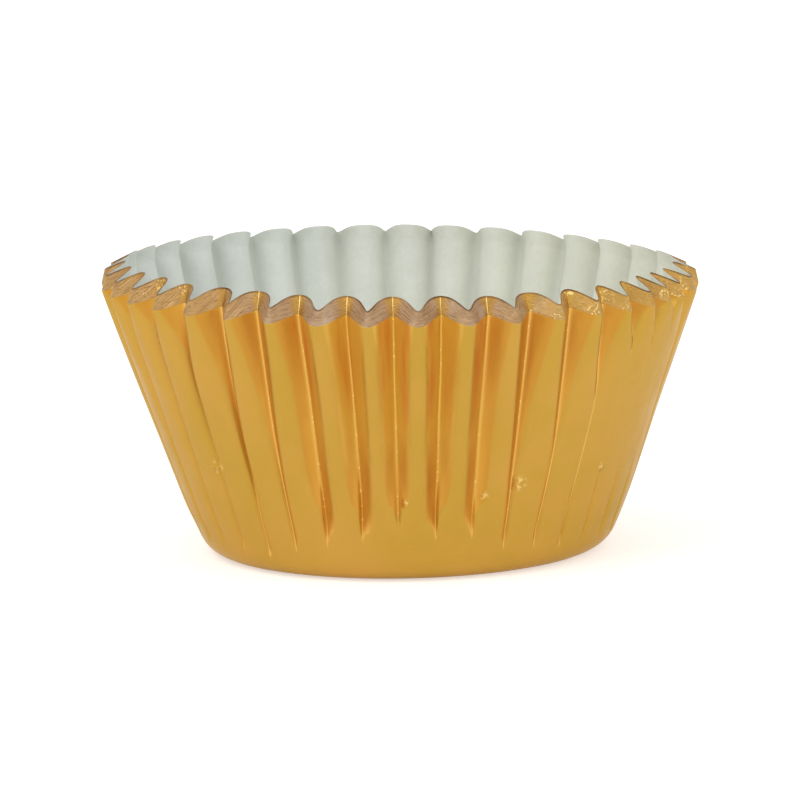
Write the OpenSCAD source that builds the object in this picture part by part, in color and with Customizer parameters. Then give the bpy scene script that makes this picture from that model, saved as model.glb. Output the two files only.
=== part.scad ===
// Fluted foil cupcake liner, pressed from one flat disc of paper-backed foil.
// The base rests on the table at z = 0 and the cup opens upwards, with its axis on z.
// Sizes are in millimetres and angles in degrees.

/* [Cup] */
// Diameter of the base, where the line of the wall would meet the table
base_d = 50; // [44:0.5:56]
// Diameter over the outer ridges at the crease under the lip
mouth_d = 73.8; // [68:0.2:80]
// Height of that crease above the table, at the outer ridges
wall_h = 32.9; // [26:0.1:40]
// Outer radius of the bend between the base and the wall
corner_r = 4; // [2:0.1:7]

/* [Flutes] */
// Number of flutes round the cup
flute_count = 38; // [28:1:42]
// Depth of a flute at the crease, measured square to the wall
flute_depth = 3.1; // [1.4:0.1:4]
// Height above the table where the flutes have opened fully, above the smooth corner
open_h = 12; // [9:0.5:20]
// Flatness of the outer ridges: 0 makes ridges and valleys alike
ridge_bias = 0.12; // [0:0.02:0.5]

/* [Lip] */
// Width of the pressed lip above the crease, measured along the sheet
lip_w = 2; // [1:0.1:4]
// Lean of the lip towards the inside, from upright
lip_lean = 17; // [0:1:30]
// Flatness of the inner ridges along the lip's edge
lip_bias = 0.66; // [0:0.02:0.8]

/* [Sheet] */
// Thickness of the foil and its paper backing together
sheet_t = 0.1; // [0.06:0.01:0.3]

/* [Hidden] */
// Facets: points round one flute, and steps up the corner
flute_points = 10;
corner_steps = 3;

// Slope of the wall from the horizontal
wall_angle = atan2(wall_h, (mouth_d - base_d) / 2);
// Radius of the flat base, up to where the corner starts to bend
flat_r = base_d / 2 - corner_r * tan(wall_angle / 2);
// Length of a corner arc through an angle, along the sheet
function arc_length(angle) = PI * corner_r * angle / 180;

// A station is a level of the cup: [radius of the ridge line, its height,
// length along the sheet from the edge of the flat base, flatness of the ridges].
// A flatness above 0 is that of the outer ridges, below 0 that of the inner ones.
function corner_station(angle) = [
    flat_r + corner_r * sin(angle),
    corner_r * (1 - cos(angle)),
    arc_length(angle),
    ridge_bias
];
corner_end = corner_station(wall_angle);
function wall_station(height) =
    let (
        climb = (height - corner_end[1]) / (wall_h - corner_end[1]),
        radius = corner_end[0] + climb * (mouth_d / 2 - corner_end[0])
    )
    [
        radius,
        height,
        corner_end[2] + norm([radius - corner_end[0], height - corner_end[1]]),
        ridge_bias
    ];
crease = wall_station(wall_h);
// Up the lip the flat side of the flutes changes over from the outside to the inside
lip_edge = [
    crease[0] - lip_w * sin(lip_lean),
    crease[1] + lip_w * cos(lip_lean),
    crease[2] + lip_w,
    -lip_bias
];
stations = [
    for (k = [0 : corner_steps]) corner_station(wall_angle * k / corner_steps),
    wall_station(open_h),
    crease,
    lip_edge
];
levels = len(stations);
columns = flute_count * flute_points;

// A ring of the flat disc is longer than the cup is round at that level.
// The flutes take up the surplus, so their depth grows with it. The corner is
// drawn smooth, and the lip keeps the depth that the flutes have at the crease.
function surplus(station) = sqrt(max(0, pow(flat_r + station[2], 2) - pow(station[0], 2)));
function depth_at(level) =
    level <= corner_steps
    ? 0
    : flute_depth * min(1, surplus(stations[level]) / surplus(crease));

// Share of the flute's depth at a column: 1 in a valley, 0 on an outer ridge.
// Column 0 is a valley and faces the front.
function wave(column, bias) =
    let (
        even = (1 + cos(360 * column / flute_points)) / 2,
        power = 1 / (1 - abs(bias))
    )
    bias < 0 ? 1 - pow(1 - even, power) : pow(even, power);

// A point of the foil side. The flutes are pressed square to the wall.
function foil_point(level, column) =
    let (
        station = stations[level],
        inset = depth_at(level) * wave(column, station[3]),
        slope = min(wall_angle, wall_angle * level / corner_steps),
        radius = station[0] - inset * sin(slope),
        turn = 360 * column / columns
    )
    [radius * sin(turn), -radius * cos(turn), station[1] + inset * cos(slope)];

// Direction through the sheet, from the foil side to the paper side
function through_sheet(level, column) =
    level == 0
    ? [0, 0, 1]
    : let (
        along = foil_point(level, column + 1) - foil_point(level, column - 1),
        up = foil_point(min(level + 1, levels - 1), column) - foil_point(level - 1, column),
        square = cross(up, along)
    )
    square / norm(square);

function paper_point(level, column) =
    foil_point(level, column) + sheet_t * through_sheet(level, column);

// Number of a point in the list: foil side first, paper side next, then the two centres
function index(side, level, column) =
    (side * levels + level) * columns + column % columns;
foil_centre = 2 * levels * columns;
paper_centre = foil_centre + 1;

// Two triangles that fill the field between two columns and two levels.
// The dividing line leans towards the ridge on both flanks of a flute, and is
// the same on both sides of the sheet, so that the thickness stays even.
function field(side, level, column) =
    let (
        a = index(side, level, column),
        b = index(side, level + 1, column),
        c = index(side, level + 1, column + 1),
        d = index(side, level, column + 1),
        rising = column % flute_points < flute_points / 2
    )
    rising ? [[a, b, c], [a, c, d]] : [[a, b, d], [b, c, d]];
function turned_over(triangles) = [for (t = triangles) [t[2], t[1], t[0]]];

module liner() {
    points = [
        for (level = [0 : levels - 1], column = [0 : columns - 1]) foil_point(level, column),
        for (level = [0 : levels - 1], column = [0 : columns - 1]) paper_point(level, column),
        [0, 0, 0],
        [0, 0, sheet_t]
    ];
    last = levels - 1;
    faces = [
        for (column = [0 : columns - 1]) each [
            [foil_centre, index(0, 0, column), index(0, 0, column + 1)],
            [paper_centre, index(1, 0, column + 1), index(1, 0, column)],
            [index(0, last, column), index(1, last, column), index(1, last, column + 1)],
            [index(0, last, column), index(1, last, column + 1), index(0, last, column + 1)]
        ],
        for (level = [0 : last - 1], column = [0 : columns - 1]) each field(0, level, column),
        for (level = [0 : last - 1], column = [0 : columns - 1])
            each turned_over(field(1, level, column))
    ];
    color("goldenrod") polyhedron(points = points, faces = faces, convexity = 10);
}

liner();
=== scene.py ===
# %% [markdown]
# # A fluted foil cupcake liner
#
# The real thing is one flat disc of thin gold foil, glued to white greaseproof paper
# and pressed into a cup. A disc has too much sheet for a cup, so the press folds the
# surplus into flutes that start at the base's corner and deepen towards the mouth.
# This lesson builds the cup the same way: a disc is drawn up ring by ring, the flutes
# are pressed into the rings, and the finished skin gets its thickness, its paper side
# and its cut edge. The packed model gives the frame, so the cup stands where it does.

# %% Load the packed model
import math

import bmesh
import bpy
from mathutils import Matrix, Vector, noise


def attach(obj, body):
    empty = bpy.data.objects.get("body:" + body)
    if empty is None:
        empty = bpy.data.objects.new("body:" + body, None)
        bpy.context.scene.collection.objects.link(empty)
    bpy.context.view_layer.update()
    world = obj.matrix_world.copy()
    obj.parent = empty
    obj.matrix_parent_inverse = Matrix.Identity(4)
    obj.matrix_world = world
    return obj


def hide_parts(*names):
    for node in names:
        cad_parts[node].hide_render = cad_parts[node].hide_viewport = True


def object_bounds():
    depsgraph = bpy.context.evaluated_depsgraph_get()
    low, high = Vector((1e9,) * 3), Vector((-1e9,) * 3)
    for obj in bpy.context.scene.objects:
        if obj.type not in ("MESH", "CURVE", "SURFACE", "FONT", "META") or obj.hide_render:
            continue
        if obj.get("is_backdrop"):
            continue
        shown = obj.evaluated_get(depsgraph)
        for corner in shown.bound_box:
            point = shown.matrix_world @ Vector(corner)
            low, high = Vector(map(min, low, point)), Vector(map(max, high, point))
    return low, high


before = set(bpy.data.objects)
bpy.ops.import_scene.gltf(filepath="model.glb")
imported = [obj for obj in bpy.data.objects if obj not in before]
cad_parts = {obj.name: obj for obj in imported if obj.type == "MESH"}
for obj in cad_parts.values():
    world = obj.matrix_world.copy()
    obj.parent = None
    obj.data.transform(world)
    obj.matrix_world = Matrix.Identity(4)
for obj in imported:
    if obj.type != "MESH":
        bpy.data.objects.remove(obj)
cad_low, cad_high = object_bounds()
print("packed box in mm:", [round(1000 * v, 1) for v in (*cad_low, *cad_high)])

# %% [markdown]
# ## Sizes
#
# Everything is worked out in millimetres, which is how a liner is sold, and only turned
# into metres where a point goes into the mesh. The mouth and the height come from the
# packed model. The base, the corner, the lip and the flutes are the liner's own sizes.

# %% Sizes of the cup
MM = 0.001
FLUTES = 38
BASE_R = 25.0                 # where the line of the wall would meet the table
CORNER_R = 4.0                # bend between base and wall
LIP_W = 2.0                   # pressed lip above the crease
LIP_LEAN = math.radians(17)   # of the lip, inwards from upright
FLUTE_DEPTH = 3.1             # at the crease, square to the wall
SHEET = 0.1                   # thickness of foil and paper together

MOUTH_R = cad_high.x / MM
TOP_Z = cad_high.z / MM
LIP_RISE = LIP_W * math.cos(LIP_LEAN)
LIP_STEP = LIP_W * math.sin(LIP_LEAN)
print("mouth", round(2 * MOUTH_R, 1), "mm across,", round(TOP_Z, 1), "mm high")

# %% [markdown]
# ## Lean of the wall
#
# The top of the packed box is the inner ridges of the lip. The press lifts them by part
# of the flutes' depth, and that part depends on how far the wall leans. So the crease's
# height is found by working it out a few times over, each time with the last lean.

# %% Find the crease and the wall's lean
SOLVING_STEPS = 8


def wall_angle_for(height):
    return math.atan2(height, MOUTH_R - BASE_R)


CREASE_Z = TOP_Z - LIP_RISE
for _ in range(SOLVING_STEPS):
    CREASE_Z = TOP_Z - LIP_RISE - FLUTE_DEPTH * math.cos(wall_angle_for(CREASE_Z))
WALL_ANGLE = wall_angle_for(CREASE_Z)
FLAT_R = BASE_R - CORNER_R * math.tan(WALL_ANGLE / 2)
CORNER_TOP = CORNER_R * (1 - math.cos(WALL_ANGLE))
print("crease at", round(CREASE_Z, 2), "mm, wall leans", round(math.degrees(WALL_ANGLE), 1), "degrees")

# %% [markdown]
# ## The surplus of the disc
#
# A ring of the flat disc is longer than the cup is round at the level where the ring ends
# up. The flutes have to take up that surplus, so their depth isn't chosen ring by ring:
# it grows with the difference between the ring's radius on the disc and on the cup.

# %% Radii on the cup and on the disc
BEND = CORNER_R * WALL_ANGLE      # length of the corner along the sheet
WALL_START = FLAT_R + CORNER_R * math.sin(WALL_ANGLE)


def wall_radius(z):
    return BASE_R + (MOUTH_R - BASE_R) * z / CREASE_Z


def disc_radius(z):
    """Where a level of the wall lay on the flat disc."""
    return FLAT_R + BEND + math.hypot(wall_radius(z) - WALL_START, z - CORNER_TOP)


def surplus(z):
    return math.sqrt(disc_radius(z) ** 2 - wall_radius(z) ** 2)


def full_depth(z):
    """Depth of a flute that is fully open, up to the crease."""
    return FLUTE_DEPTH * surplus(z) / surplus(CREASE_Z)


print("the crease lay", round(disc_radius(CREASE_Z), 1), "mm from the middle of the disc")

# %% [markdown]
# ## Shut and open flutes
#
# Just above the corner a flute is pinched shut, so that only a shallow line shows. Higher
# up the valley opens and shows its whole depth. One value, the opening, says how far a
# flute has got from the first state to the second.

# %% Depth of a flute at a height
RUN_OUT_Z = 2.6        # height where the flutes start
OPEN_Z = 12.0          # height where the valleys are fully open
SHUT_DEPTH = 0.48      # how deep a valley shows where it is still pinched shut
SHUT_RISE = 1.5        # height over which even that shallow line fades in


def mix(a, b, share):
    return a + (b - a) * share


def rise(z, low, high):
    """0 up to low and 1 from high on, with a smooth change between them."""
    share = min(1, max(0, (z - low) / (high - low)))
    return share * share * (3 - 2 * share)


def depth_at(z, opening, shut=1.0):
    shallow = SHUT_DEPTH * shut * rise(z, RUN_OUT_Z, RUN_OUT_Z + SHUT_RISE)
    return mix(shallow, full_depth(min(z, CREASE_Z)), opening)


print("depth of an open flute half way up:", round(full_depth(CREASE_Z / 2), 2), "mm")

# %% [markdown]
# ## The rings
#
# A cup that is drawn from a disc is easiest to think of as rings, each with a radius, a
# height, and the radius that the same ring had on the flat disc. Rings lie close together
# where the sheet bends, at the corner and at the crease, and further apart on the
# straight wall. Depth and opening say how a ring is fluted, and lip grows from the crease
# to the edge.

# %% Work out the rings
BASE_RINGS = (FLAT_R * 0.6, FLAT_R * 0.85, FLAT_R - 1.0, FLAT_R)
CORNER_SHARES = (0.25, 0.5, 0.75, 1.0)
WALL_HEIGHTS = (3.4, 4.3, 5.3, 6.5, 8.0, 10.0, 12.6, 15.6, 19.0, 22.6, 26.0, 29.0, 31.4, 32.5)
LIP_SHARES = (0.12, 0.5, 0.88, 1.0)


def ring(radius, height, disc, depth=0, opening=0, lip=0):
    return dict(radius=radius, height=height, disc=disc, depth=depth, opening=opening, lip=lip)


rings = [ring(radius, 0, radius) for radius in BASE_RINGS]
for share in CORNER_SHARES:
    angle = WALL_ANGLE * share
    radius, height = FLAT_R + CORNER_R * math.sin(angle), CORNER_R * (1 - math.cos(angle))
    rings.append(ring(radius, height, FLAT_R + BEND * share))
for z in (*WALL_HEIGHTS, CREASE_Z):
    opening = rise(z, RUN_OUT_Z + 2, OPEN_Z)
    rings.append(ring(wall_radius(z), z, disc_radius(z), depth_at(z, opening), opening))
for share in LIP_SHARES:
    radius, height = MOUTH_R - LIP_STEP * share, CREASE_Z + LIP_RISE * share
    rings.append(ring(radius, height, disc_radius(CREASE_Z) + LIP_W * share, FLUTE_DEPTH, 1, share))
SHEET_R = rings[-1]["disc"]
print(len(rings), "rings from a flat disc of", round(2 * SHEET_R, 1), "mm")

# %% [markdown]
# ## One flute
#
# Twelve columns make one flute: the valley, the ridge, and five on each flank. Each
# column is named by its place across the flute, as a share of the pitch, and by how
# deep the press pushes it. Near the corner the columns crowd round the valley, which
# makes the narrow shut fold that a pressed liner has there. On the wall the valley is a
# sharp fold between two open flanks. Along the lip's edge the columns spread the other
# way, so that the inner ridges come out round and wide.

# %% The columns of one flute
#    place and depth at the corner, at the crease and at the lip's edge
COLUMNS = [
    ((0.000, 1.00), (0.000, 1.00), (0.000, 1.00)),
    ((0.020, 0.88), (0.035, 0.95), (0.120, 0.98)),
    ((0.048, 0.56), (0.095, 0.84), (0.230, 0.91)),
    ((0.075, 0.24), (0.185, 0.62), (0.330, 0.76)),
    ((0.105, 0.04), (0.285, 0.33), (0.410, 0.46)),
    ((0.240, 0.00), (0.390, 0.09), (0.455, 0.15)),
    ((0.500, 0.00), (0.500, 0.00), (0.500, 0.00)),
]
HALF = len(COLUMNS) - 1
PER_FLUTE = 2 * HALF
PER_RING = FLUTES * PER_FLUTE
PITCH = 2 * math.pi / FLUTES


def across(column, now):
    """Angle from the valley to a column, and how deep it is pushed, on one ring."""
    corner, crease, edge = COLUMNS[abs(column)]
    place, share = (mix(mix(corner[i], crease[i], now["opening"]), edge[i], now["lip"]) for i in (0, 1))
    return math.copysign(place * PITCH, column), share * now["depth"]


print(PER_RING, "columns round the cup")

# %% [markdown]
# ## Draw the disc up into a cup
#
# A bare circle is the smallest ring of the base. It is extruded once for each ring, and
# each new ring is scaled out and lifted to its place. The middle stays open until the
# end, because a fan of several hundred triangles at one point is slow to smooth. Three
# whole-number attributes, the flute, the column and the ring, are written on the
# vertices, and extruding copies them, so any part of the cup can be picked out later.

# %% Start with the smallest ring
bpy.ops.object.select_all(action="DESELECT")
bpy.ops.mesh.primitive_circle_add(
    vertices=PER_RING, radius=rings[0]["radius"] * MM, fill_type="NOTHING",
    calc_uvs=False, location=(0, 0, 0))
liner = bpy.context.object
liner.name = liner.data.name = "liner_sheet"


def turn_of(place):
    """Angle about the cup's axis, 0 in front and positive to the right."""
    return math.atan2(place.x, -place.y)


def marks(*names):
    """The values of some attributes, one for each vertex."""
    return [liner.data.attributes[name].data for name in names]


for name in ("flute", "column", "ring"):
    liner.data.attributes.new(name, "INT", "POINT")
flute_of, column_of = marks("flute", "column")
for vertex in liner.data.vertices:
    place = round(turn_of(vertex.co) / PITCH * PER_FLUTE) % PER_RING + HALF
    flute_of[vertex.index].value = place // PER_FLUTE % FLUTES
    column_of[vertex.index].value = place % PER_FLUTE - HALF
print("first ring:", len(liner.data.vertices), "vertices")

# %% Draw the cup up, ring by ring
bpy.ops.object.mode_set(mode="EDIT")
bpy.ops.mesh.select_mode(type="VERT")
bpy.ops.mesh.select_all(action="SELECT")
for number in range(1, len(rings)):
    before, after = rings[number - 1], rings[number]
    bpy.ops.mesh.extrude_region_move()
    grow = after["radius"] / before["radius"]
    bpy.ops.transform.resize(value=(grow, grow, 1), center_override=(0, 0, 0))
    bpy.ops.transform.translate(value=(0, 0, (after["height"] - before["height"]) * MM))
    mesh = bmesh.from_edit_mesh(liner.data)
    ring_mark = mesh.verts.layers.int["ring"]
    for vertex in mesh.verts:
        if vertex.select:
            vertex[ring_mark] = number
    bmesh.update_edit_mesh(liner.data)
print("smooth cup:", len(mesh.verts), "vertices,", len(mesh.faces), "faces")

# %% [markdown]
# ## Press the flutes
#
# The press pushes each column in square to the wall, which is a scale towards the axis
# and a small lift. The same columns of all the flutes are pressed at once. A turn about
# the axis then gathers them round the valley, one way on the left flank and the other
# way on the right.

# %% Pick columns by their marks
def select_columns(number, columns):
    mesh = bmesh.from_edit_mesh(liner.data)
    ring_mark, column_mark = (mesh.verts.layers.int[name] for name in ("ring", "column"))
    for vertex in mesh.verts:
        vertex.select = vertex[ring_mark] == number and vertex[column_mark] in columns
    mesh.select_flush_mode()
    bmesh.update_edit_mesh(liner.data)
    return sum(vertex.select for vertex in mesh.verts)


print("valley columns on the last ring:", select_columns(len(rings) - 1, (0,)))

# %% Press the flutes, column by column
SMALLEST_TURN = 1e-6

for number, now in enumerate(rings):
    if now["depth"] == 0:
        continue
    for column in range(HALF):
        _, depth = across(column, now)
        if depth > 0:
            squeeze = 1 - depth * math.sin(WALL_ANGLE) / now["radius"]
            select_columns(number, (column, -column))
            bpy.ops.transform.resize(value=(squeeze, squeeze, 1), center_override=(0, 0, 0))
            bpy.ops.transform.translate(value=(0, 0, depth * math.cos(WALL_ANGLE) * MM))
    for column in range(1 - HALF, HALF):
        even = column / PER_FLUTE * PITCH
        wanted, _ = across(column, now)
        if abs(wanted - even) > SMALLEST_TURN:
            select_columns(number, (column,))
            bpy.ops.transform.rotate(value=even - wanted, orient_axis="Z", center_override=(0, 0, 0))
bpy.ops.object.mode_set(mode="OBJECT")
print("pressed", FLUTES, "flutes")

# %% [markdown]
# ## A little unevenness
#
# No two flutes of a pressed liner are alike. In front a flute opens low and stays about
# as wide up to the crease, with a blunt lower end. Towards the sides it stays folded shut
# for longer and then gapes as a wedge, and on the right the wall below the wedges is
# nearly flat. Behind, the flutes are calmer. They also stand a little left or right of
# their place and vary in depth.
#
# These moves differ from flute to flute and from flank to flank, which no single operator
# can do, so they are made vertex by vertex, in code. The chance in them is a noise with
# fixed places, which gives the same result on every run. Heights are in millimetres and
# directions in degrees, 0 in front and positive to the right.

# %% Directions round the cup, and chance for single flutes
def bell(x, centre, width):
    return math.exp(-((x - centre) / width) ** 2)


def wander(flute, seed):
    """A steady random value between about -1 and 1 for each flute."""
    return 2 * noise.noise(Vector((flute * 3.7 + 0.5, seed * 11.3 + 0.5, 0.5)))


def facing(flute):
    """Direction of a flute's valley."""
    return math.degrees((flute * PITCH + math.pi) % (2 * math.pi) - math.pi)


def in_front(turn):
    return 1 - rise(abs(turn), 85, 115)


def in_back(turn):
    return rise(abs(turn), 75, 120)


def near_centre(flute):
    """1 for the few flutes that face straight ahead."""
    return 1 - rise(abs(facing(flute)), 17, 30)


print("flutes that face ahead:", [flute for flute in range(FLUTES) if near_centre(flute) > 0.5])

# %% [markdown]
# ## Where a flute starts
#
# A flute has two starting heights: one where its shut fold begins, just above the corner,
# and one where it begins to gape. In front each flank also has an end of its own. The
# flank on the outer side of its valley ends high, and the one on the side of the middle
# runs further down, which gives the front flutes their slanting, blunt feet.

# %% Heights where a flute starts
OUTER_FLANK_END = 8.2
BOTH_ALIKE_BEYOND = 100           # direction past which both flanks end together
STRAIGHT_AHEAD = 3                # direction within which neither flank is the outer one


def gape_start(flute):
    """Height where a flute starts to gape: low in front, higher towards the sides."""
    turn = facing(flute)
    later = 21 * rise(-turn, 14, 55) + 24 * rise(turn, 20, 62)
    return 8 + in_front(turn) * later + 1.5 * wander(flute, 5)


def fold_start(flute):
    """Height where the shut fold of a flute starts, highest in front."""
    return 2.4 + 4.0 * bell(facing(flute), 3, 30) + 0.5 * wander(flute, 6)


def flank_end(flute, flank):
    """Height of a flank's lower end. Flank -1 is left of the valley, 1 is right of it."""
    turn = facing(flute)
    if abs(turn) > BOTH_ALIKE_BEYOND:
        return gape_start(flute)
    if flank * turn > 0 or abs(turn) < STRAIGHT_AHEAD:
        return mix(gape_start(flute), OUTER_FLANK_END + 0.8 * wander(flute, 7), near_centre(flute))
    return fold_start(flute)


def gape(flute, z):
    """How far a flute gapes, 0 to 1 at the crease, fast at first and slower above."""
    start = gape_start(flute) - 1
    return min(1, max(0, (z - start) / (CREASE_Z - start))) ** 0.65


print("the flutes gape from", [round(gape_start(flute)) for flute in range(FLUTES)], "mm")

# %% [markdown]
# ## A flute's own wave
#
# Each flute now gets its own depth, opening and lip on each ring. On the left the folds
# stand upright and deepen slowly. On the right they fade to nothing above the corner, and
# only gape again near the crease. Behind, they open early and keep round inner ridges.

# %% The wave of one flute
def own_wave(flute, column, now):
    """A ring's settings as they are on one column of a flute."""
    turn, z = facing(flute), now["height"]
    front, back, near = in_front(turn), in_back(turn), near_centre(flute)
    right, left = front * rise(turn, 24, 46), front * rise(-turn, 15, 32)
    far_left = rise(-turn, 32, 55)
    start = fold_start(flute)

    gradual = mix(gape(flute, z), rise(z, start, OPEN_Z), back)
    ends = [flank_end(flute, flank) for flank in (-1, 1) if flank * column >= 0]
    opening = max(mix(gradual, rise(z, end, end + 2.4), near) for end in ends)
    opening = max(opening, 0.4 * front * far_left * rise(z, 11, 28))

    shut = rise(z, start, start + 1.3) * (1 - 0.95 * right * rise(z, 5, 13))
    upright = max(0, (z - start) / (CREASE_Z - start)) ** mix(1.9, 2.8, far_left)
    left_depth = FLUTE_DEPTH * shut * min(1, 0.12 + 0.88 * upright)
    depth = mix(depth_at(z, opening, shut), left_depth, left) * (1 - 0.15 * back)

    round_lip = 1 - 0.65 * right - 0.30 * near - 0.45 * front * rise(-turn, 25, 60)
    lip = max(now["lip"] * round_lip, 0.45 * back * rise(z, 6, 20))
    return dict(now, opening=opening, depth=depth, lip=lip)


half_way = min(rings, key=lambda now: abs(now["height"] - CREASE_Z / 2))
print("depth half way up:", [round(own_wave(flute, 0, half_way)["depth"], 1) for flute in range(FLUTES)])

# %% [markdown]
# ## Marks for the gold
#
# The gold finish has to know two things that only this step knows, so they are written
# as attributes. Fold says how far a flank is open, and so how wide the painted orange
# reflection is laid on it. Near marks the flanks that see the gold of the next one,
# which get their own painted orange.

# %% Mark the open flanks
for name in ("fold", "near"):
    liner.data.attributes.new(name, "FLOAT", "POINT")
flute_of, column_of, ring_of, fold_of, near_of = marks("flute", "column", "ring", "fold", "near")
for number in range(len(liner.data.vertices)):
    flute, column = flute_of[number].value, column_of[number].value
    z, turn, near = rings[ring_of[number].value]["height"], facing(flute), near_centre(flute)
    flank = 1 if column > 0 or column == 0 and turn < 0 else -1
    inner = flank * turn < 0
    end = flank_end(flute, flank)
    stripe = rise(z, end - 0.2, end + 1.2) * (1 - rise(abs(turn), 36, 54) if inner else near)
    behind = rise(abs(turn), 75, 105) * rise(z, 9, 20)
    fold_of[number].value = max(0.85 * stripe, gape(flute, z), behind)
    near_of[number].value = max(near if inner else near * (1 - rise(abs(turn), 5, 20)), behind)
print("marked", sum(value.value > 0 for value in fold_of), "vertices on open flanks")

# %% [markdown]
# ## Move the vertices
#
# Each vertex swaps the even wave for its flute's own one, and then follows the cup as a
# whole. A handled liner has its flutes gathered on one side, a soft belly and a hollow
# where fingers held it, and a mouth that leans by half a millimetre.

# %% From the even wave to the flute's own
SIN_WALL, COS_WALL = math.sin(WALL_ANGLE), math.cos(WALL_ANGLE)
FLUTE_SWAY = 0.07                 # of a whole flute to one side, as a share of the pitch
RING_SWAY = 0.03                  # of a flute's valley on its way up


def press_again(flute, column, now, turn, radius, high):
    """Move a vertex to its flute's own wave. Returns its place and how far it is pushed."""
    even_place, even_push = across(column, now)
    own_place, own_push = across(column, own_wave(flute, column, now))
    calm = 1 - 0.6 * in_back(facing(flute))
    late = 0.8 * calm * wander(flute, 3) * bell(now["height"], RUN_OUT_Z + 1.5, 3.5)
    deeper = 0.10 * calm * wander(flute, 1) - 0.35 * late
    move = own_push - even_push + own_push * deeper
    bending = noise.noise(Vector((flute * 2.3, now["height"] / 9, 4)))
    sway = FLUTE_SWAY * wander(flute, 2) + RING_SWAY * bending
    grown = min(1, 2 * now["depth"] / FLUTE_DEPTH)
    turn += own_place - even_place + calm * sway * PITCH * grown
    return turn, radius - move * SIN_WALL, high + move * COS_WALL, own_push


print("flutes sway by about", round(math.degrees(FLUTE_SWAY * PITCH), 1), "degrees at most")

# %% The cup as a whole
GATHER = math.radians(10)         # how far the flutes on the right are drawn forward
GATHER_AT = math.radians(85)
GATHER_WIDTH = math.radians(25)
SAG_AT = math.radians(125)        # behind on the right, where the rim hangs a little
SAG_WIDTH = math.radians(35)
CUP_HEIGHT = 35                   # about, as the measure of how far up a point is


def handle(turn, radius, high, pushed, now):
    """Where a point of the new cup is after some handling."""
    turn -= GATHER * bell(turn, GATHER_AT, GATHER_WIDTH) * rise(high, 0, 32)
    side, back, lip = math.sin(turn), in_back(math.degrees(turn)), now["lip"]
    # the lip's edge rises over a valley and dips at a ridge, and behind it stands up straighter
    high += lip * (mix(-0.10, 0.28, pushed / FLUTE_DEPTH) - 0.28 * back)
    radius += back * (0.5 * lip - 0.3 * bell(now["height"], CREASE_Z, 1.6))
    # a wall that is a little fuller above, a belly on the right and a hollow low on the left
    radius += 0.22 * rise(high, 8, 30)
    radius += 0.42 * max(0, side) ** 3 * bell(high, 8, 8)
    radius -= 0.40 * max(0, -side) ** 2 * bell(high, 2.5, 2.5)
    # the mouth's lean to the right, and the place where the rim hangs
    high -= high / CUP_HEIGHT * (0.57 * side + 0.4 * bell(turn, SAG_AT, SAG_WIDTH))
    return radius * math.sin(turn), -radius * math.cos(turn), high


for vertex in liner.data.vertices:
    flute, column = flute_of[vertex.index].value, column_of[vertex.index].value
    now = rings[ring_of[vertex.index].value]
    turn, radius, high = turn_of(vertex.co), math.hypot(vertex.co.x, vertex.co.y) / MM, vertex.co.z / MM
    pushed = 0
    if now["depth"] > 0:
        turn, radius, high, pushed = press_again(flute, column, now, turn, radius, high)
    vertex.co = [MM * value for value in handle(turn, radius, high, pushed, now)]
print("top of the sheet:", round(max(v.co.z for v in liner.data.vertices) / MM, 2), "mm")

# %% [markdown]
# ## Pattern coordinates
#
# The streaks along the lip and the fine wrinkles across the wall follow the sheet, so
# the piece gets a UV map laid out like the unrolled wall: across is the way round the
# cup, and up is the way along the sheet from the base's centre to the lip's edge. The
# last flute's faces reach back to the first column, so they are laid past the map's end.

# %% Lay out the UV map
uv = liner.data.uv_layers.new(name="sheet")
flute_of, column_of, ring_of = marks("flute", "column", "ring")
for face in liner.data.polygons:
    corners = []
    for loop in face.loop_indices:
        vertex = liner.data.loops[loop].vertex_index
        place = (flute_of[vertex].value * PER_FLUTE + column_of[vertex].value) % PER_RING
        corners.append((loop, place, rings[ring_of[vertex].value]["disc"] / SHEET_R))
    places = [place for _, place, _ in corners]
    wraps = max(places) - min(places) > PER_RING / 2
    for loop, place, up in corners:
        if wraps and place < PER_RING / 2:
            place += PER_RING
        uv.data[loop].uv = (place / PER_RING, up)
print("UV map laid out,", len(uv.data), "corners")

# %% [markdown]
# ## Finishes
#
# The outside of a foil liner is aluminium leaf under gold lacquer. It is a soft mirror,
# so most of its look comes from what it reflects: a ridge shows the pale room, and a
# flank shows the gold of the flank across the valley, which is why the flanks look
# orange. The nodes add what a plain mirror doesn't have: an uneven lacquer, a painted
# orange reflection on the open flanks, painted glints, fine grain, and the wrinkles that
# pressing leaves.
#
# Small helpers put the nodes down, so that each finish below reads from top to bottom.
# The first one keeps a material's nodes at hand, links them and does sums with them.

# %% A helper that puts nodes down
class Nodes:
    """A material with its nodes at hand."""

    def __init__(self, name):
        self.material = bpy.data.materials.new(name)
        self.material.use_nodes = True
        self.nodes = self.material.node_tree.nodes
        self.links = self.material.node_tree.links
        self.shader = self.nodes["Principled BSDF"]

    def put(self, socket, value):
        """Link a value that is a socket, or set one that is a constant."""
        if isinstance(value, bpy.types.NodeSocket):
            self.links.new(value, socket)
        else:
            socket.default_value = value

    def node(self, kind, values):
        """A new node with values in the named or numbered sockets."""
        node = self.nodes.new(kind)
        for name, value in values.items():
            self.put(node.inputs[name], value)
        return node

    def set(self, name, value):
        self.put(self.shader.inputs[name], value)

    def math(self, operation, *values):
        node = self.node("ShaderNodeMath", dict(enumerate(values)))
        node.operation = operation
        return node.outputs[0]

    def times(self, first, second):
        return self.math("MULTIPLY", first, second)

    def most(self, first, second):
        return self.math("MAXIMUM", first, second)


print("helper with", [name for name in vars(Nodes) if not name.startswith("_")])

# %% [markdown]
# ## Patterns
#
# Every finish here is made of the same few things: a soft step from one value to
# another, a mix of two colours, a cloudy noise, and a place on the cup to hang them on.
# Places are the object's own, so a pattern stays on the foil when the cup is moved.

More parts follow.
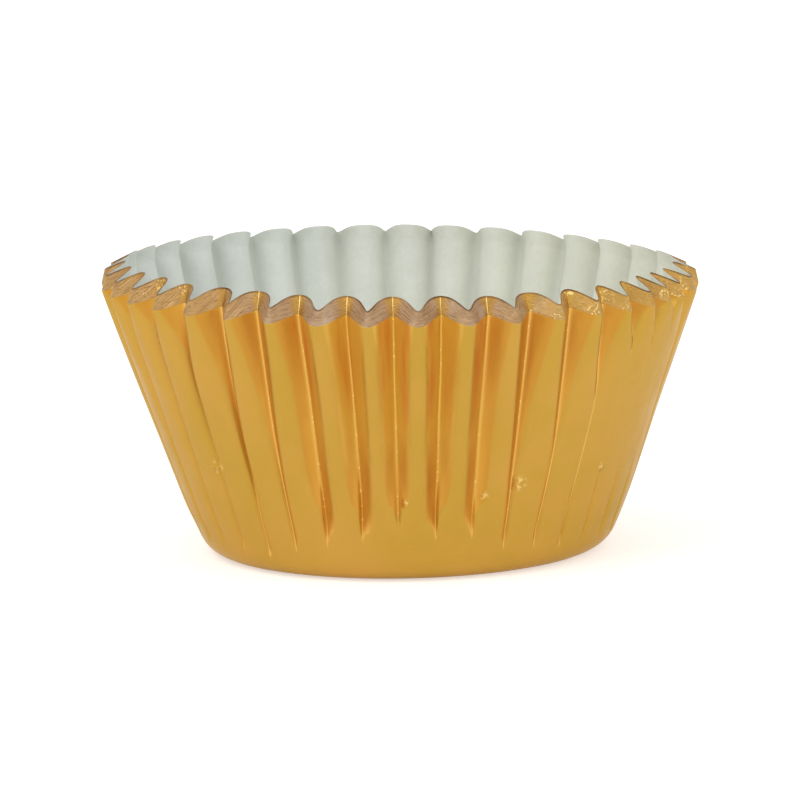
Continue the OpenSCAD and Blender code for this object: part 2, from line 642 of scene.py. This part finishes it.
# %% A helper for patterns
class Patterns(Nodes):
    """Soft steps, mixes, noise and places."""

    def ramp(self, value, low, high, start=0.0, end=1.0):
        """A smooth change from start to end while the value goes from low to high."""
        node = self.node("ShaderNodeMapRange", {
            "Value": value, "From Min": low, "From Max": high, "To Min": start, "To Max": end})
        node.interpolation_type = "SMOOTHSTEP"
        return node.outputs[0]

    def mix(self, share, first, second):
        """The first colour where share is 0, the second where it is 1."""
        node = self.nodes.new("ShaderNodeMix")
        node.data_type = "RGBA"
        for number, value in ((0, share), (6, first), (7, second)):
            self.put(node.inputs[number], value)
        return node.outputs[2]

    def noise(self, vector, scale, detail):
        node = self.node("ShaderNodeTexNoise", {"Vector": vector, "Scale": scale, "Detail": detail})
        return node.outputs["Fac"]

    def object_place(self):
        return self.nodes.new("ShaderNodeTexCoord").outputs["Object"]

    def x_place(self):
        return self.node("ShaderNodeSeparateXYZ", {0: self.object_place()}).outputs[0]

    def distance_to(self, point):
        node = self.node("ShaderNodeVectorMath", {0: self.object_place(), 1: point})
        node.operation = "DISTANCE"
        return node.outputs["Value"]

    def attribute(self, name):
        node = self.nodes.new("ShaderNodeAttribute")
        node.attribute_name = name
        return node.outputs["Fac"]


print("helper with", [name for name in vars(Patterns) if not name.startswith("_")])

# %% [markdown]
# ## Patterns that follow the sheet
#
# Streaks and wrinkles run along the folded sheet, not straight through the cup, so the
# last helper reads the UV map. From the way round the cup it works out how far a point
# is from the nearest valley, because that's where the colour of the foil changes.

# %% A helper for the sheet's own coordinates
class Finish(Patterns):
    """A finish of the folded sheet."""

    def sheet(self):
        """Flutes counted round the cup, the way from the nearest valley, where it is 0, to
        a ridge, where it is 0.5, and the way along the sheet from its middle to its edge."""
        uv_node = self.nodes.new("ShaderNodeUVMap")
        uv_node.uv_map = "sheet"
        parts = self.node("ShaderNodeSeparateXYZ", {0: uv_node.outputs[0]})
        flutes = self.times(parts.outputs[0], float(FLUTES))
        return flutes, self.math("PINGPONG", flutes, 0.5), parts.outputs[1]

    def sheet_noise(self, flutes, along, scales, detail, slant=0.0):
        """Noise that follows the sheet, at one scale round the cup and one along it."""
        up = self.times(along, scales[1])
        if slant:
            up = self.math("MULTIPLY_ADD", flutes, slant, up)
        place = self.node("ShaderNodeCombineXYZ", {0: self.times(flutes, scales[0]), 1: up})
        return self.noise(place.outputs[0], 1.0, detail)

    def bump(self, height, distance):
        node = self.node("ShaderNodeBump", {"Height": height, "Distance": distance})
        node.inputs["Strength"].default_value = 1.0
        self.set("Normal", node.outputs[0])


print("helper with", [name for name in vars(Finish) if not name.startswith("_")])

# %% [markdown]
# ## Colours
#
# A colour is easiest to choose as it looks on a screen, but nodes work with linear
# light, so each colour is turned into linear values when it is used.

# %% Colours as they look on a screen
def linear(red, green, blue):
    """A colour as it looks on a screen, 0 to 255, as the linear values that nodes use."""
    def one(value):
        value /= 255
        return value / 12.92 if value <= 0.04045 else ((value + 0.055) / 1.055) ** 2.4
    return (one(red), one(green), one(blue), 1)


print("mid grey in linear values:", round(linear(128, 128, 128)[0], 3))

# %% [markdown]
# ## Gold foil
#
# Straw gold is the colour of the ridges, where the foil mirrors the room. On an open
# flank the gold mirrors gold, so the light is coloured twice and comes out orange. That
# orange is painted into the base colour as a painted reflection. The mirror alone would
# make it too brown, so a flank that sees its neighbour gets a lighter painted orange, and
# one that doesn't gets a deeper one, both laid out with the sheet's own coordinates. A red
# streak here and there deepens the painted orange.

# %% Straw gold of the ridges
foil = Finish("gold_foil")
flutes, from_valley, along = foil.sheet()
everywhere = foil.object_place()
mottle = foil.ramp(foil.noise(everywhere, 90, 3), 0.35, 0.65)
straw = foil.mix(mottle, linear(207, 160, 70), linear(200, 158, 62))
print("straw gold laid on", foil.material.name)

# %% Two kinds of painted orange reflection
streaks = foil.sheet_noise(flutes, along, (5.0, 4.0), 2)
red_streak = foil.times(foil.ramp(streaks, 0.45, 0.70), foil.ramp(along, 0.70, 0.90, 0.35, 1.0))
outer_part = foil.ramp(from_valley, 0.15, 0.34)           # the part of a flank next to the ridge
single_glow = linear(205, 147, 55)
foot, shank = linear(230, 178, 84), foil.mix(outer_part, linear(218, 163, 67), single_glow)
lower_orange = foil.mix(foil.ramp(along, 0.49, 0.545), foot, shank)
upper_orange = foil.mix(red_streak, linear(228, 184, 82), linear(220, 150, 72))
near_painted_orange = foil.mix(foil.ramp(along, 0.60, 0.74), lower_orange, upper_orange)
deep = foil.mix(red_streak, linear(218, 162, 64), linear(212, 150, 62))
far_painted_orange = foil.mix(foil.ramp(from_valley, 0.04, 0.16), linear(234, 184, 90), deep)
far_painted_orange = foil.mix(outer_part, far_painted_orange, single_glow)
orange = foil.mix(foil.attribute("near"), far_painted_orange, near_painted_orange)
print("orange has", len(foil.nodes), "nodes so far")

# %% Where the painted orange reflection lies
OPEN_SHARE = 0.42                 # of a flute, from its valley to the edge of the orange

fold = foil.attribute("fold")     # 0 below the folds, 1 in open ones
past_edge = foil.math("MULTIPLY_ADD", fold, -OPEN_SHARE, from_valley)
flank = foil.times(foil.ramp(past_edge, -0.045, 0.02, 1, 0), foil.ramp(fold, 0.0, 0.12))
# painted reflection: the open flanks get the orange in place of the straw gold
colour = foil.mix(flank, straw, orange)
print("open flanks are orange for up to", round(100 * OPEN_SHARE), "% of a flute beside its valley")

# %% [markdown]
# ## Dents and bright specks
#
# Where foil was crumpled it catches the light in small points, and these points are
# painted highlights. Five dents sit on the wall at places that are given by their
# direction and height, and painted glint specks run along the bottoms of the valleys.
# Both are painted bright into the base colour, and the dents are in the relief too.

# %% Dents and painted glints
DENTS = ((29.8, 12.0, 1.3), (20.8, 10.6, 1.0), (-47.0, 13.5, 1.3), (55.4, 12.6, 0.9), (1.7, 10.2, 0.9))


def on_wall(turn, z):
    """A point on the ridges of the wall, in metres, at a turn in degrees and a height."""
    turn, radius = math.radians(turn), wall_radius(z) * MM
    return (radius * math.sin(turn), -radius * math.cos(turn), z * MM)


crumple = 0.0
for turn, z, size in DENTS:
    spot = foil.ramp(foil.distance_to(on_wall(turn, z)), 0.3 * size * MM, size * MM, 1, 0)
    crumple = foil.most(crumple, spot)
creases = foil.noise(everywhere, 1700, 3)
painted_dent_glints = foil.times(crumple, foil.ramp(creases, 0.50, 0.62, 0, 0.75))
in_valleys = foil.times(foil.ramp(from_valley, 0.02, 0.05, 1, 0), foil.ramp(along, 0.48, 0.52))
painted_glint_specks = foil.times(foil.ramp(foil.noise(everywhere, 2200, 1), 0.64, 0.70, 0, 0.8), in_valleys)
# painted highlights: glint specks and dent glints are painted pale gold into the base colour
foil.set("Base Color", foil.mix(foil.most(painted_glint_specks, painted_dent_glints), colour, linear(255, 222, 140)))
print(len(DENTS), "dents in the wall")

# %% [markdown]
# ## Gloss and relief of the foil
#
# The gloss stays satin, because rolled foil on paper is never a clean mirror. A metallic
# value between paint and full metal keeps a plain colour under the reflections. The
# relief is fine grain all over, with patches of wrinkles that lie across the flutes.

# %% Gloss and relief of the foil
FOIL_RELIEF = 0.12 * MM

foil.set("Metallic", 0.55)
foil.set("Specular IOR Level", 0.25)
foil.set("Specular Tint", linear(226, 210, 172))
foil.set("Roughness", foil.ramp(foil.noise(everywhere, 300, 2), 0.3, 0.7, 0.29, 0.37))
grain = foil.times(foil.noise(everywhere, 2600, 2), 0.10)
ticks = foil.math("SUBTRACT", foil.sheet_noise(flutes, along, (4.0, 240.0), 1), 0.5)
patches = foil.ramp(foil.noise(everywhere, 110, 1), 0.40, 0.70)
on_ridge = foil.ramp(from_valley, 0.26, 0.36, 0.12, 0.35)
relief = foil.math("ADD", grain, foil.times(foil.times(ticks, patches), on_ridge))
relief = foil.math("MULTIPLY_ADD", foil.times(crumple, creases), 2.2, relief)
foil.bump(relief, FOIL_RELIEF)
print("gold foil has", len(foil.nodes), "nodes")

# %% [markdown]
# ## The pressed lip
#
# Above the crease the sheet is crushed between the halves of the press. The lacquer
# rubs off on the high places and the sheet shows fine layered lines, so the lip is a
# dull tan with a painted pale sheen outside the left side, gold left deep in the valleys,
# a painted bright line down each valley in front, and a few crinkles with painted
# highlights. The lines lie level in front and slant on the left. On the right the lip
# is more gold, with more painted sparkle.

# %% Lines along the lip
lip = Finish("pressed_lip")
flutes, from_valley, along = lip.sheet()
everywhere = lip.object_place()
left = lip.ramp(lip.x_place(), -12 * MM, -24 * MM)
right = lip.ramp(lip.x_place(), 10 * MM, 22 * MM)
level, slanting = (lip.sheet_noise(flutes, along, (2.5, 420.0), 3, slant) for slant in (5.0, -40.0))
lines = lip.ramp(left, 0, 1, level, slanting)
print("lines laid along", lip.material.name)

# %% Tan where the lacquer is rubbed off
# painted sheen: pale patches on the tan stand in for soft highlights
painted_sheen = lip.ramp(lip.noise(everywhere, 330, 2), 0.45, 0.68, 0, 0.55)
lined_tan = lip.mix(lip.ramp(lines, 0.34, 0.70), linear(168, 130, 94), linear(194, 160, 120))
front_tan = lip.mix(painted_sheen, lined_tan, linear(208, 186, 158))
left_tan = lip.mix(lip.ramp(lines, 0.40, 0.64), linear(176, 132, 76), linear(210, 172, 110))
tan = lip.mix(left, front_tan, left_tan)
print("tan has", len(lip.nodes), "nodes so far")

# %% Gold and painted highlights on the crinkles
worn = lip.math("ADD", from_valley, lip.times(lip.noise(everywhere, 400, 2), 0.25))
gold_left = lip.most(lip.ramp(worn, 0.22, 0.36, 1, 0), lip.times(right, 0.85))
crushed = lip.sheet_noise(flutes, along, (9.0, 500.0), 2)
clusters = lip.ramp(lip.noise(everywhere, 380, 1), 0.45, 0.65)
fine = lip.ramp(lip.noise(everywhere, 3200, 2), 0.50, 0.60)
both_sides = lip.most(right, lip.times(left, 0.6))
painted_spine_highlight = lip.times(lip.ramp(from_valley, 0.006, 0.024, 0.9, 0), lip.ramp(both_sides, 0, 0.6, 1, 0))
painted_sparkle = lip.times(both_sides, lip.times(clusters, fine))
crinkle_and_painted_glint = lip.most(lip.most(painted_spine_highlight, lip.ramp(crushed, 0.62, 0.72)), painted_sparkle)
gold = lip.mix(right, linear(180, 138, 72), linear(194, 152, 72))
# painted highlights: the crinkles, the line down each valley and the sparkle are painted pale gold into
# the colour
gold = lip.mix(crinkle_and_painted_glint, gold, linear(250, 214, 136))
print("gold has", len(lip.nodes), "nodes so far")

# %% Colour, gloss and relief of the lip
LIP_RELIEF = 0.12 * MM

patchy = lip.ramp(lip.noise(everywhere, 260, 2), 0.35, 0.60, 0.3, 1.0)
worn_edge = lip.times(lip.ramp(along, 0.9955, 0.9985), patchy)
lip.set("Base Color", lip.mix(worn_edge, lip.mix(gold_left, tan, gold), linear(120, 84, 50)))
lip.set("Metallic", lip.most(gold_left, lip.ramp(crinkle_and_painted_glint, 0, 1, 0.45, 1)))
lip.set("Roughness", lip.ramp(crinkle_and_painted_glint, 0, 1, 0.48, 0.16))
calm_lines = lip.times(lines, lip.ramp(right, 0, 1, 0.5, 0.12))
crushing = lip.math("MULTIPLY_ADD", crinkle_and_painted_glint, 0.5, lip.times(crushed, 0.8))
lip.bump(lip.math("ADD", calm_lines, crushing), LIP_RELIEF)
print("pressed lip has", len(lip.nodes), "nodes")

# %% [markdown]
# ## Paper and cut edge
#
# The inside is greaseproof paper, a cool off-white with a faint cloud of fibres. Towards
# the right it is painted warmer, as painted light from the warm side of the room, and
# along the creases it gets a painted shade, a shade darker where a fold holds shadow. At
# the rim the shears leave both layers bare, which reads as a thin brown line.

# %% Greaseproof paper
PAPER_RELIEF = 0.02 * MM

paper = Finish("greaseproof_paper")
_, from_valley, along = paper.sheet()
everywhere = paper.object_place()
fibres = paper.noise(everywhere, 1800, 3)
cloud = paper.math("ADD", paper.times(paper.noise(everywhere, 160, 4), 0.7), paper.times(fibres, 0.3))
shade = paper.ramp(cloud, 0.35, 0.65)
cool = paper.mix(shade, linear(222, 227, 222), linear(232, 236, 231))
warm_painted_light = paper.mix(shade, linear(234, 234, 219), linear(242, 242, 228))
# painted light: the paper is painted warmer towards the right side of the cup
white = paper.mix(paper.ramp(paper.x_place(), -30 * MM, 30 * MM), cool, warm_painted_light)
# painted shade: a darker paper colour along the inside creases
folded = paper.times(paper.ramp(from_valley, 0.22, 0.50, 0, 0.6), paper.ramp(along, 0.48, 0.60))
paper.set("Base Color", paper.mix(folded, white, linear(204, 207, 196)))
paper.set("Roughness", 0.8)
paper.bump(fibres, PAPER_RELIEF)
print("paper has", len(paper.nodes), "nodes")

# %% Cut edge
edge = Finish("cut_edge")
layers = edge.ramp(edge.noise(edge.object_place(), 900, 2), 0.35, 0.65)
edge.set("Base Color", edge.mix(layers, linear(126, 86, 56), linear(176, 134, 94)))
edge.set("Roughness", 0.7)
print("finishes:", [finish.material.name for finish in (foil, lip, paper, edge)])

# %% [markdown]
# ## Give the faces their finishes
#
# The gold and the lip are both on the outer side, and the ring that a face belongs to
# says which one it gets. The list holds the paper twice, because the thickness is added
# later by a modifier that finds the inner finish a fixed number of places further down:
# two places below gold and below the lip there is paper in both cases.

# %% Give the faces their finishes
GOLD, LIP = 0, 1
TO_PAPER, TO_EDGE = 2, 3          # places further down the list for the inside and the rim

for finish in (foil, lip, paper, paper, edge):
    liner.data.materials.append(finish.material)
ring_of = liner.data.attributes["ring"].data
for face in liner.data.polygons:
    on_lip = any(rings[ring_of[vertex].value]["lip"] > 0 for vertex in face.vertices)
    face.material_index = LIP if on_lip else GOLD
print("faces on the lip:", sum(face.material_index == LIP for face in liner.data.polygons))

# %% [markdown]
# ## Smooth the sheet and close its base
#
# One level of subdivision rounds the flutes while the sheet is still thin and open. Then
# the smallest ring is extruded once more and merged at the centre, which closes the base
# with one flat pole. The sheet is still open at the mouth, so the direction of its faces
# is set by hand: the base has to look down.

# %% Smooth the sheet
bpy.context.view_layer.objects.active = liner
liner.select_set(True)
smooth = liner.modifiers.new("smooth", "SUBSURF")
smooth.levels = smooth.render_levels = 1
bpy.ops.object.modifier_apply(modifier="smooth")
print("smooth sheet:", len(liner.data.polygons), "faces")

# %% Close the middle of the base
bpy.ops.object.mode_set(mode="EDIT")
mesh = bmesh.from_edit_mesh(liner.data)
for vertex in mesh.verts:
    vertex.select = vertex.is_boundary and vertex.co.z < CORNER_R / 2 * MM
mesh.select_flush_mode()
bmesh.update_edit_mesh(liner.data)
bpy.ops.mesh.extrude_region_move()
bpy.ops.mesh.merge(type="CENTER")
bpy.ops.mesh.select_all(action="SELECT")
bpy.ops.mesh.normals_make_consistent(inside=False)
bpy.ops.object.mode_set(mode="OBJECT")


def base_faces_down():
    return min(liner.data.polygons, key=lambda face: face.center.length).normal.z < 0


if not base_faces_down():
    liner.data.flip_normals()
print("the base looks", "down" if base_faces_down() else "up")

# %% [markdown]
# ## Thickness
#
# Foil and paper are glued, so they are one sheet and need one mesh. Solidify adds the
# paper side and the rim to the outer skin, and its material offsets give the new side
# and the rim their own finishes. Gold stays outside, paper comes inside, and the cut
# edge runs round the mouth.

# %% Give the sheet its thickness
solid = liner.modifiers.new("thickness", "SOLIDIFY")
solid.thickness = SHEET * MM
solid.offset = -1
solid.material_offset = TO_PAPER
solid.material_offset_rim = TO_EDGE
bpy.ops.object.modifier_apply(modifier="thickness")
bpy.ops.object.shade_smooth()
print("sheet:", sum(len(face.vertices) - 2 for face in liner.data.polygons), "triangles")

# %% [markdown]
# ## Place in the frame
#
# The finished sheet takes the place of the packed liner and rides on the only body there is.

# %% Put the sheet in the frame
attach(liner, "root")
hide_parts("liner")
print("the sheet stands for the packed liner")

# %% [markdown]
# ## Camera
#
# The cup is seen from a little above and nearly head on. A long lens from 0.8 m keeps the
# base's and the mouth's ellipses alike, as in a product picture. The camera is aimed so
# that the middle of the base falls on a chosen place of the picture, and then rolled by
# about a degree, because the table line isn't quite level.

# %% Where the middle of the base is in the picture
SENSOR = 36.0
LENS = 289.4
IMAGE = 800                       # pixels across and down
BASE_X, BASE_Y = 405.2, 545.2     # place of the middle of the base, in pixels
ROLL = -0.0194

pixel = SENSOR / LENS / IMAGE
right, down = (BASE_X - IMAGE / 2) * pixel, (BASE_Y - IMAGE / 2) * pixel
level_right = math.cos(ROLL) * right + math.sin(ROLL) * down
level_down = math.cos(ROLL) * down - math.sin(ROLL) * right
print("the base is", round(math.degrees(math.atan(level_down)), 2), "degrees below the middle")

# %% Camera
DISTANCE = 0.8
VIEW_UP = 0.1824                  # radians above the table
VIEW_TURN = math.radians(1.7)     # to the right of straight ahead

camera_data = bpy.data.cameras.new("camera")
camera_data.lens = LENS
camera_data.sensor_width = SENSOR
camera_data.clip_start = 0.05
camera = bpy.data.objects.new("camera", camera_data)
bpy.context.collection.objects.link(camera)
place = Vector((0, -DISTANCE * math.cos(VIEW_UP), DISTANCE * math.sin(VIEW_UP)))
aim = (Matrix.Rotation(math.atan(level_right) + VIEW_TURN, 4, "Z")
       @ Matrix.Rotation(math.pi / 2 - VIEW_UP + math.atan(level_down), 4, "X")
       @ Matrix.Rotation(ROLL, 4, "Z"))
camera.matrix_world = Matrix.Translation(Matrix.Rotation(VIEW_TURN, 4, "Z") @ place) @ aim
bpy.context.scene.camera = camera
print("camera at", [round(value, 3) for value in camera.matrix_world.translation])

# %% [markdown]
# ## Studio
#
# Gold needs something plain and bright to mirror, so the world is white in reflections
# and to the camera, and only softly grey as a light. The floor is a pale matt sheet that
# glows for the same rays, so that it looks white and still takes the cup's shadow. Two
# large soft lamps give the ridges a bright and a shaded side.

# %% The world
WORLD_LIGHT = 0.68                # as a light on the cup, where 1 is white


def rays_that_show(nodes, links):
    """1 for the rays that show a backdrop as it is: from the camera, metal and glass."""
    path = nodes.new("ShaderNodeLightPath")
    shown = path.outputs["Is Camera Ray"]
    for ray in ("Is Glossy Ray", "Is Transmission Ray"):
        either = nodes.new("ShaderNodeMath")
        either.operation = "MAXIMUM"
        links.new(shown, either.inputs[0])
        links.new(path.outputs[ray], either.inputs[1])
        shown = either.outputs[0]
    return shown


bpy.context.scene.view_settings.view_transform = "Standard"
world = bpy.data.worlds.new("studio")
bpy.context.scene.world = world
world.use_nodes = True
nodes, links = world.node_tree.nodes, world.node_tree.links
strength = nodes.new("ShaderNodeMapRange")
strength.inputs["To Min"].default_value = WORLD_LIGHT
strength.inputs["To Max"].default_value = 1.0
links.new(rays_that_show(nodes, links), strength.inputs["Value"])
links.new(strength.outputs["Result"], nodes["Background"].inputs["Strength"])
nodes["Background"].inputs["Color"].default_value = (1, 1, 1, 1)
print("world:", world.name)

# %% The floor
FLOOR_SIZE = 6
FLOOR_GLOW = 0.52

bpy.ops.object.select_all(action="DESELECT")
bpy.ops.mesh.primitive_plane_add(size=FLOOR_SIZE, location=(0, 0, 0))
floor = bpy.context.object
floor.name = "studio_floor"
ground = Finish("white_floor")
ground.set("Base Color", (0.85, 0.85, 0.85, 1))
ground.set("Roughness", 0.9)
ground.set("Emission Color", (1, 1, 1, 1))
ground.set("Emission Strength", ground.times(rays_that_show(ground.nodes, ground.links), FLOOR_GLOW))
floor.data.materials.append(ground.material)
floor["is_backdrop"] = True
print("floor:", floor.name)

# %% The lamps
MIDDLE_OF_CUP = Vector((0, 0, 0.02))


def softbox(name, place, size, watts):
    light = bpy.data.lights.new(name, "AREA")
    light.shape = "DISK"
    light.size = size
    light.energy = watts
    lamp = bpy.data.objects.new(name, light)
    lamp.location = place
    lamp.rotation_euler = (MIDDLE_OF_CUP - Vector(place)).to_track_quat("-Z", "Y").to_euler()
    bpy.context.collection.objects.link(lamp)
    return lamp


lamps = [softbox("key", (-0.5, -0.6, 0.9), 0.7, 3.0), softbox("fill", (0.8, -0.5, 0.6), 0.8, 1.2)]
print("lamps:", [lamp.name for lamp in lamps])

# %% [markdown]
# ## Measure and finish
#
# The box of the finished cup is printed, as the box of the packed one was, so that
# the two can be compared.

# %% Finish
low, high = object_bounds()
print("visual box in mm:", [round(1000 * v, 1) for v in (*low, *high)])
